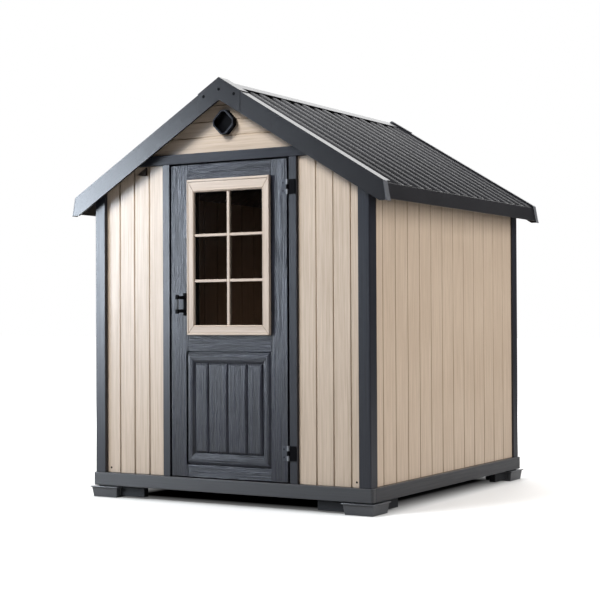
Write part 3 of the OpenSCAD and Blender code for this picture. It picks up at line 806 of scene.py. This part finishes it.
# The lining round the pane, the gap under the header, what the lower panel's recess adds to its
# node's box, the field of its four boards in X and Z, and the joints between them in X.
LINING = 0.008
HEADER_GAP = 0.004
RECESS_LOW, RECESS_HIGH = Vector((0.018, 0, 0.029)), Vector((0.013, 0, 0.02))
BOARDS = ((-0.207, 0.287), (0.239, 0.787))
BOARD_JOINTS = (-0.1175, 0.0115, 0.14)
# The lower panel's ring: shares of the way in, with their depth under the crest.
RING = ((0, 0.009), (0.22, 0.0022), (0.34, 0.0004), (0.45, 0), (0.6, 0.0004), (0.74, 0.0018),
        (0.96, 0.0085), (1, 0.011))
# The window's casing: shares of the way in, with their depth under its front.
CASING = ((0, 0.004), (0.03, 0), (0.17, 0), (0.2, 0.004), (0.8, 0.004), (0.88, 0.002), (1, 0.008))


def grown(rectangle, margin):
    """A rectangle in X and Z with its sides moved outwards."""
    (x0, z0), (x1, z1) = rectangle
    return (x0 - margin, z0 - margin), (x1 + margin, z1 + margin)


def mitred_ring(outer, inner, profile, gap, members=range(4)):
    """Mitred members between two rectangles in X and Z, numbered from the bottom round by the
    right; the profile's points are a share of the way from the outer edge to the inner one and
    a place in Y."""
    bm = bmesh.new()
    corners = [(0, 0), (1, 0), (1, 1), (0, 1)]
    outside = [Vector((outer[i][0], 0, outer[j][1])) for i, j in corners]
    inside = [Vector((inner[i][0], 0, inner[j][1])) for i, j in corners]
    for k in members:
        n = (k + 1) % 4
        run = (outside[n] - outside[k]).normalized()
        ends = []
        for a, sign in ((k, 1), (n, -1)):
            ends.append([
                outside[a].lerp(inside[a], t) + run * sign * gap / 2 + Vector((0, y, 0))
                for t, y in profile
            ])
        add_prism(bm, *ends)
    return bm


def mitred_pair(name, outer, inner, profile, gap, finishes, slot, nodes, edge):
    """A ring in two pieces, so that the grain runs along the rails and along the stiles."""
    for part, finish, members in zip(("rails", "stiles"), finishes, ((0, 2), (1, 3))):
        ring = mitred_ring(outer, inner, profile, gap, members)
        dress(f"{name}_{part}", ring, finish, "door", slot, nodes, edge)


def build_door():
    """The leaf's stiles and rails, and thin cheeks round the window and the lower panel."""
    low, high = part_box("door_leaf")
    high.z -= HEADER_GAP
    hole_low, hole_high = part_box("window_glass")
    field_low, field_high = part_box("door_lower_panel")
    recess_low, recess_high = field_low - RECESS_LOW, field_high + RECESS_HIGH
    frame_low, frame_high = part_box("window_frame")
    casing_left, casing_right = 0.006, 0.001
    left, right = frame_low.x - casing_left, frame_high.x + casing_right
    sill, lintel = hole_low.z - LINING, hole_high.z + LINING
    dress("door_stiles", boxes(
        (low, (left, high.y, high.z)),
        ((right, low.y, low.z), high),
    ), door_upright, "door", "door_slate", ["door_leaf"], 0.0015)
    dress("door_rails", boxes(
        ((left, low.y, lintel), (right, high.y, high.z)),
        ((left, low.y, recess_high.z), (right, high.y, sill)),
        ((left, low.y, low.z), (right, high.y, recess_low.z)),
    ), door_level, "door", "door_slate", (), 0.0015)
    dress("door_cheeks", boxes(
        ((left, low.y, sill), (hole_low.x - LINING, high.y, lintel)),
        ((hole_high.x + LINING, low.y, sill), (right, high.y, lintel)),
        ((left, low.y, recess_low.z), (recess_low.x, high.y, recess_high.z)),
        ((recess_high.x, low.y, recess_low.z), (right, high.y, recess_high.z)),
        ((recess_low.x, field_high.y, recess_low.z), (recess_high.x, high.y, recess_high.z)),
    ), door_upright, "door", "door_slate", (), 0.001)
    build_panel(recess_low, recess_high, field_low.y, field_high.y)


def build_panel(low, high, crest_y, floor_y):
    """The lower panel: a moulded ring in the recess, and four boards with bevelled edges."""
    gap, bevel, rise, sunk, clear = 0.0015, 0.011, 0.006, 0.0065, 0.0025
    outer = grown(((low.x, low.z), (high.x, high.z)), -clear)
    profile = [(0, floor_y), *[(t, crest_y + depth) for t, depth in RING], (1, floor_y)]
    mitred_pair("door_panel_bead", outer, grown(BOARDS, gap), profile, 0.0006,
                (door_level, door_upright), "door_slate", (), 0.0008)
    (start, foot), (stop, head) = BOARDS
    edges = (start, *BOARD_JOINTS, stop)
    bm = bmesh.new()
    for left, right in zip(edges, edges[1:]):
        left, right = left + gap, right - gap
        shoulder = [Vector((x, crest_y + sunk, z)) for x, z in (
            (left, foot), (right, foot), (right, head), (left, head))]
        heart = sum(shoulder, Vector()) / 4
        face = [
            c + Vector((math.copysign(bevel, heart.x - c.x), -rise,
                        math.copysign(bevel, heart.z - c.z)))
            for c in shoulder
        ]
        add_prism(bm, face, shoulder)
        add_prism(bm, shoulder, [Vector((c.x, floor_y, c.z)) for c in shoulder])
    bmesh.ops.remove_doubles(bm, verts=bm.verts, dist=MERGE)
    dress("door_panel_boards", bm, door_upright, "door", "door_slate", ["door_lower_panel"],
          0.0015)


def build_window():
    """The casing outside, the lining, the trim inside, the bars on both faces, and the pane."""
    low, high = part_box("window_frame")
    glass_low, glass_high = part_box("window_glass")
    leaf_low, leaf_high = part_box("door_leaf")
    face_y, back_y = leaf_low.y, leaf_high.y
    inner = ((glass_low.x, glass_low.z), (glass_high.x, glass_high.z))
    profile = [(0, face_y), *[(t, low.y + depth) for t, depth in CASING], (1, face_y)]
    mitred_pair("window_casing", ((low.x, low.z), (high.x, high.z)), inner, profile, 0.0024,
                (trim_level, trim_upright), "cream_trim", ["window_frame"], 0.001)
    ring = mitred_ring(grown(inner, LINING), inner,
                       [(0, face_y), (1, face_y), (1, back_y), (0, back_y)], 0.0)
    dress("window_lining", ring, frame_upright, "door", "door_slate", (), 0.0008)
    trim_w = 0.028
    ring = mitred_ring(grown(inner, trim_w), inner,
                       [(0, back_y), (1, back_y), (1, high.y), (0, high.y)], 0.0006)
    dress("window_inner_trim", ring, trim_upright, "door", "cream_trim", (), 0.0008)
    middle = (glass_low.x + glass_high.x) / 2
    upright, level, level_at = 0.009, 0.008, (1.250, 1.506)
    outside, inside = 0.012, 0.009
    left, right = middle - upright, middle + upright
    bars = []
    for y0, y1 in ((glass_low.y - outside, glass_low.y), (glass_high.y, glass_high.y + inside)):
        bars.append(((left, y0, glass_low.z), (right, y1, glass_high.z)))
        for z in level_at:
            for x0, x1 in ((glass_low.x, left), (right, glass_high.x)):
                bars.append(((x0, y0, z - level), (x1, y1, z + level)))
    dress("window_bars", boxes(*bars), trim_level, "door", "cream_trim", (), 0.003)
    dress("window_pane", boxes((glass_low, glass_high)), pane_plastic, "door", "pane",
          ["window_glass"], 0.0003, 1)


def build_handle():
    """A pull that stands off the edge of its plate on two sloping arms."""
    plate_w, plate_thick = 0.026, 0.008
    grip_w, grip_thick, cap, half = 0.02, 0.012, 0.025, 0.0535
    arm_from, arm_to, sunk = 0.006, 0.025, 0.004
    low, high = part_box("door_handle")
    plate_x, plate_y = high.x - plate_w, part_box("door_leaf")[0].y - plate_thick
    middle, grip_x, grip_y = (low.z + high.z) / 2, low.x + grip_w, low.y + grip_thick
    dress("handle_plate", boxes(((plate_x, plate_y, low.z), high)), black_plastic, "door",
          "black_fitting", ["door_handle"], 0.003, 3)
    arms = bmesh.new()
    for z0, z1 in ((middle - half + arm_from, middle - half + arm_to),
                   (middle + half - arm_to, middle + half - arm_from)):
        add_prism(arms, *[
            [(x0, y, z0), (x0, y, z1), (x1, y, z1), (x1, y, z0)]
            for x0, x1, y in ((plate_x, high.x, plate_y), (low.x, grip_x, grip_y - sunk))])
    dress("handle_arms", arms, black_plastic, "door", "black_fitting", (), 0.002)
    caps = boxes(*[((low.x, low.y, z), (grip_x, grip_y, z + cap))
                   for z in (middle - half, middle + half - cap)])
    dress("handle_caps", caps, black_plastic, "door", "black_fitting", (), 0.003, 3)
    thinner = 0.001
    grip = boxes(((low.x + thinner, low.y + thinner, middle - half + cap),
                  (low.x + (grip_w - thinner), grip_y - thinner, middle + half - cap)))
    dress("handle_grip", grip, grip_plastic, "door", "black_fitting", (), 0.004, 3)
    from_end = 0.009
    spots = [(high.x - plate_w / 2, plate_y, z) for z in (low.z + from_end, high.z - from_end)]
    screw_set("handle_screws", spots, -1, 0.004, 0.0015, "door")


def build_hinges():
    """The jamb's blocks, the door's leaves with pale knuckles, and the leaves' screws."""
    shaped("hinge_blocks", "hinge_jamb_plates", black_plastic, "black_fitting", 0.001)
    leaves = dress("hinge_leaves", copy_of("hinge_door_plates"), hinge_slate, "door", "hinge_grey",
                   ["hinge_door_plates"], 0.0006)
    low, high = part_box("hinge_door_plates")
    knuckle, leaf_thick, from_edge, half, apart = 0.014, 0.003, 0.010, 0.04, 0.022
    paint(leaves, knuckle_grey, lambda c: c.x > high.x - knuckle)
    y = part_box("door_leaf")[0].y - leaf_thick
    middles = (low.z + half, high.z - half)
    points = [(low.x + from_edge, y, z + d) for z in middles for d in (-apart, apart)]
    screw_set("hinge_leaf_screws", points, -1, 0.004, 0.0015, "door", "hinge_grey")


def build_details():
    """Screws in the wall panels' low corners, and the bracket under the front's left rake, dark
    plastic whose brown tint is a painted reflection of the cream wall.
    """
    wall_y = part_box("back_wall")[1].y
    from_middle, over_base = 0.815, 0.028
    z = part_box("front_wall_left")[0].z + over_base
    for end, sign in ENDS:
        spots = [(x, sign * wall_y, z) for x in (-from_middle, from_middle)]
        screw_set(f"panel_screws_{end}", spots, sign, 0.006, 0.002)
    outline, thick = [(-0.616, 1.868), (-0.560, 1.862), (-0.548, 1.866), (-0.548, 1.912)], 0.014
    bm = bmesh.new()
    add_prism(bm, *[[(px, y, pz) for px, pz in outline] for y in (-wall_y, -wall_y - thick)])
    dress("rake_bracket", bm, bracket_plastic, "shed", "black_fitting", (), 0.003)


# Studio -------------------------------------------------------------------


def build_floor():
    """A pale floor with a painted shadow under the shed, where it is dark and gets no glow, and a
    glow that whitens it away from the shed, so that it has no far edge. It lights the shed as a
    greyer one."""
    half_w, half_d, inside, outside = 0.93, 1.02, -0.2, 0.06
    near, far, half_side, drop = 2.0, 6.0, 60, 0.0004
    shadow, light = (0.02, 0.02, 0.022, 1.0), (0.62, 0.62, 0.62, 1.0)
    greyer = (0.32, 0.32, 0.32, 1.0)
    f = Finish("studio_floor")
    distance = f.node("ShaderNodeVectorMath", {"operation": "LENGTH"}, [f.point], "Value")
    x, y, z = f.parts(f.point)
    # The painted shadow: the floor is dark and does not glow under and round the shed.
    beside = f.maths("MAXIMUM", abs(x) - half_w, abs(y) - half_d)
    clear_of_painted_shadow = f.spread(beside, inside, outside)
    glow = 0.25 * clear_of_painted_shadow + 0.9 * f.spread(distance, near, far)
    plain = f.node("ShaderNodeBsdfDiffuse", None, {"Color": greyer})
    pale = f.node("ShaderNodeBsdfDiffuse", None, {"Color": f.mix(clear_of_painted_shadow, shadow, light)})
    glow = f.node("ShaderNodeEmission", None, {"Color": (1.0, 1.0, 1.0, 1.0), "Strength": glow})
    seen = f.node("ShaderNodeLightPath", out="Is Camera Ray")
    shown = f.node("ShaderNodeAddShader", None, [pale, glow])
    surface = f.node("ShaderNodeMixShader", None, [seen, plain, shown])
    f.node("ShaderNodeOutputMaterial", None, {"Surface": surface})
    bm = bmesh.new()
    bmesh.ops.create_grid(bm, x_segments=1, y_segments=1, size=half_side)
    floor = raw_piece("studio_floor", bm)
    floor.data.transform(Matrix.Translation((0, 0, -drop)))
    floor.data.materials.append(f.material)


def build_world():
    """A room that is white to the eye, and that gloss mirrors as bright behind and above the shed
    and dark in front of it. Its own light is soft, faint and warm."""
    bright, dark, soft, warm = 2.1, 0.03, 0.05, (1.0, 0.85, 0.75, 1.0)
    world = bpy.data.worlds.new("Studio")
    bpy.context.scene.world = world
    world.use_nodes = True
    t = Tree(world.node_tree)
    t.group.nodes.clear()
    x, y, z = t.parts(t.node("ShaderNodeTexCoord", out="Generated"))
    mirrored = t.node("ShaderNodeMapRange", {"clamp": True}, {
        "Value": (y - x + z * 1.5) * 0.6, "From Min": 0.6, "From Max": 0.95,
        "To Min": dark, "To Max": bright})
    glossy = t.node("ShaderNodeLightPath", out="Is Glossy Ray")
    seen = t.node("ShaderNodeLightPath", out="Is Camera Ray")
    strength = soft + (mirrored - soft) * glossy
    strength = strength + (1.0 - strength) * seen
    tint = t.node("ShaderNodeMix", {"data_type": "RGBA"}, {
        "Factor_Float": t.maths("MAXIMUM", glossy, seen), "A_Color": warm,
        "B_Color": (1.0, 1.0, 1.0, 1.0)}, "Result_Color")
    back = t.node("ShaderNodeBackground", None, {"Color": tint, "Strength": strength})
    t.node("ShaderNodeOutputWorld", None, {"Surface": back})


WHITE, COOL = (1.0, 1.0, 1.0), (0.85, 0.92, 1.0)
# Each light's name, place, target, width and height, watts and colour.
GLOSS_LIGHTS = (
    ("sheen", (-4.45, -4.5, 1.86), (-0.9, -1.0, 1.2), (2.3, 2.3), 330, (0.8, 0.89, 1.0)),
    ("low_sheen", (-5.0, -4.6, 0.2), (-0.9, -1.0, 0.3), (1.8, 1.2), 16, COOL),
    ("left_edges", (-6.0, -1.3, 0.7), (0.0, -1.0, 0.6), (1.7, 2.4), 100, COOL),
)
SOFT_LIGHTS = (
    ("front", (-2.2, -6.0, 6.5), (0.0, -1.0, 1.2), (2.6, 2.6), 790, (1.0, 1.035, 1.06)),
    ("top", (0.5, 0.5, 6.0), (0.0, 0.0, 0.0), (5.0, 5.0), 280, WHITE),
    ("right", (6.5, 0.8, 3.6), (0.9, 0.0, 1.2), (6.0, 6.0), 450, (1.0, 0.98, 0.95)),
    ("back", (-2.5, 6.5, 5.5), (0.0, 1.0, 1.2), (3.5, 3.5), 420, WHITE),
    ("far_left", (-6.5, 1.0, 3.6), (-0.9, 0.0, 1.2), (4.0, 4.0), 260, WHITE),
    ("inside", (-0.1, 0.45, 0.95), (-0.87, 0.5, 0.95), (0.2, 0.2), 0.3, (1.0, 0.7, 0.5)),
)


def area_light(name, place, target, size, power, colour, mirrored):
    """A softbox that shades the surfaces, or a round one that shows only in their gloss."""
    data = bpy.data.lights.new(name, "AREA")
    data.shape = "ELLIPSE" if mirrored else "RECTANGLE"
    data.size, data.size_y = size
    data.energy = power
    data.color = colour
    light = bpy.data.objects.new(name, data)
    bpy.context.scene.collection.objects.link(light)
    light.location = place
    light.rotation_euler = (Vector(target) - Vector(place)).to_track_quat("-Z", "Y").to_euler()
    light.visible_camera = False
    light.visible_glossy = mirrored
    light.visible_diffuse = not mirrored


def build_lights():
    """Lights that the front and its edges mirror, lights that shape the walls and the roof, and a
    faint one inside that shows the far wall through the window."""
    for settings in GLOSS_LIGHTS:
        area_light(*settings, mirrored=True)
    for settings in SOFT_LIGHTS:
        area_light(*settings, mirrored=False)


def build_camera():
    """At the front right, a little under the shed's middle."""
    place, focal_length, sensor, far = (4.430, -7.673, 1.034), 86.244, 36, 200
    turn, tilt, roll = math.radians(30.64), math.radians(0.759), -0.0045
    forward = Vector((-math.sin(turn) * math.cos(tilt), math.cos(turn) * math.cos(tilt),
                      math.sin(tilt)))
    right = Vector((math.cos(turn), math.sin(turn), 0))
    up = right.cross(forward)
    side = right * math.cos(roll) + up * math.sin(roll)
    top = up * math.cos(roll) - right * math.sin(roll)
    basis = Matrix((side, top, -forward)).transposed()
    data = bpy.data.cameras.new("camera")
    data.sensor_width = sensor
    data.lens = focal_length
    data.clip_end = far
    camera = bpy.data.objects.new("camera", data)
    bpy.context.scene.collection.objects.link(camera)
    camera.matrix_world = Matrix.Translation(place) @ basis.to_4x4()
    bpy.context.scene.camera = camera
    bpy.context.scene.view_settings.view_transform = "Standard"


build_walls()
build_frame()
build_roof()
build_door()
build_window()
build_handle()
build_hinges()
build_details()
build_floor()
build_world()
build_lights()
build_camera()
